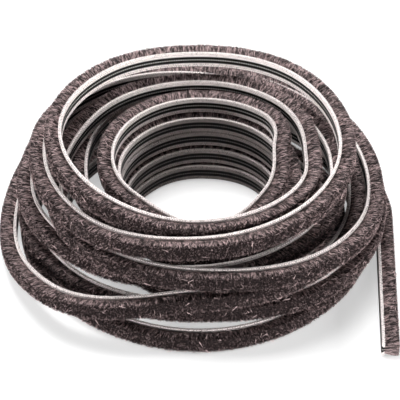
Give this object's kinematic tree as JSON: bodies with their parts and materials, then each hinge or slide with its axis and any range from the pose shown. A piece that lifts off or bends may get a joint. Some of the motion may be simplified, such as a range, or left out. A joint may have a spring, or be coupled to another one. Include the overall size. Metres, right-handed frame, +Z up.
{
  "type": "brush seal strip",
  "caption": "Pile weatherstrip in one length, wound by hand into a loose coil with its free end lying out; dense brush pile on a woven backing ribbon.",
  "frame": {"origin": "on the floor, under the middle of the coil's bounding box", "axes": "+Z up, along the coil's axis; the free end lies at +X and is cut off towards -Y"},
  "size_m": [0.2068, 0.1966, 0.0648],
  "materials": {
    "backing": "off-white woven polypropylene ribbon, fine dotted weave",
    "pile": "dark grey-brown dense cut pile, matte and fuzzy"
  },
  "bodies": {
    "root": {"backing": "backing", "pile": "pile"}
  },
  "joints": []
}
